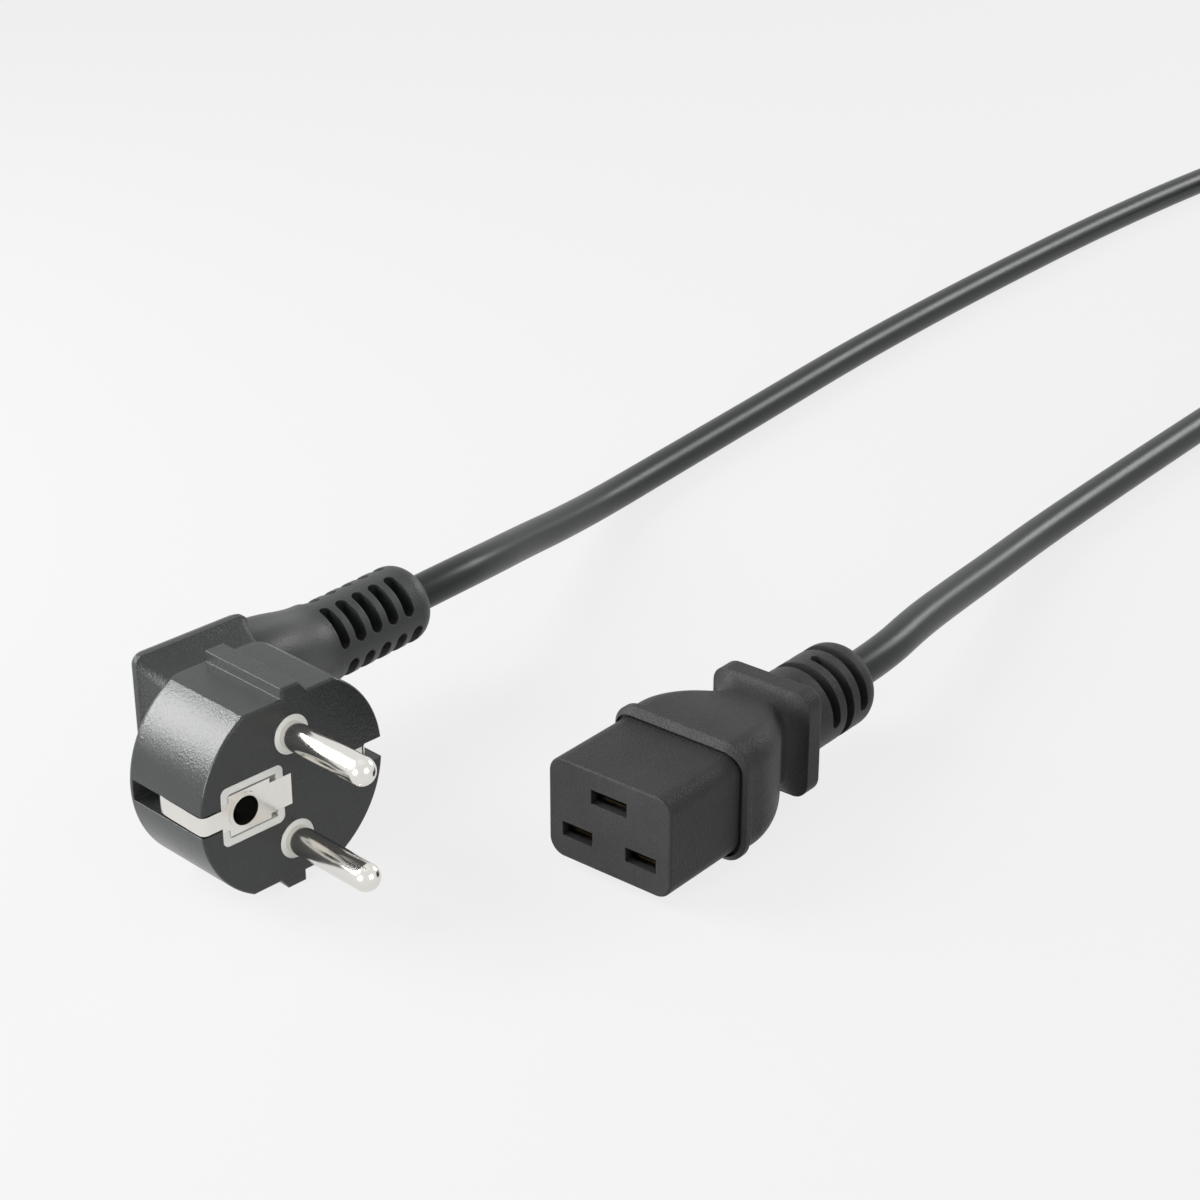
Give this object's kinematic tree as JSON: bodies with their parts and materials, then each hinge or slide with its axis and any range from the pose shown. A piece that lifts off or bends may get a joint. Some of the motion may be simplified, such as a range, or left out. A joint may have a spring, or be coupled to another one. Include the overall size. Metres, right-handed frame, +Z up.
{
  "type": "power cord",
  "caption": "Mains power cord: angled round plug with ball-ended pins and side earth springs, a flexible cord, and a straight block connector with blade slots.",
  "frame": {"origin": "centre of the bottom face of the plug's lower rib, on the surface that the cord lies on", "axes": "+Z up, -Y the way the plug's pins point, +X the way the plug's cable leaves"},
  "size_m": [0.5556, 0.1551, 0.036],
  "materials": {
    "plug_dark": "fine moulded grain",
    "connector_dark": "fine moulded grain",
    "cord_sheath": "satin",
    "bridge_light": "satin",
    "contact_nickel": "bright nickel plate",
    "contact_brass": "bare stamped sheet",
    "strand_copper": "bare copper strands",
    "core_brown": "smooth",
    "core_blue": "smooth",
    "core_green": "smooth"
  },
  "bodies": {
    "root": {"line_pin": "contact_nickel", "neutral_pin": "contact_nickel", "plug_contact_bridge": "bridge_light", "earth_strap": "contact_nickel", "earth_clip": "contact_nickel", "earth_sleeve": "contact_nickel", "plug_body": "plug_dark", "connector_body": "connector_dark", "connector_insert": "connector_dark", "contact_line": "contact_brass", "contact_neutral": "contact_brass", "contact_earth": "contact_brass", "plug_jacket": "cord_sheath", "connector_jacket": "cord_sheath", "cord_plug_run": "cord_sheath", "cord_coil": "cord_sheath", "cord_connector_run": "cord_sheath", "plug_core_line": "core_brown", "plug_strand_line": "strand_copper", "plug_core_neutral": "core_blue", "plug_strand_neutral": "strand_copper", "plug_core_earth": "core_green", "plug_strand_earth": "strand_copper", "connector_core_line": "core_brown", "connector_strand_line": "strand_copper", "connector_core_neutral": "core_blue", "connector_strand_neutral": "strand_copper", "connector_core_earth": "core_green", "connector_strand_earth": "strand_copper"}
  },
  "joints": []
}
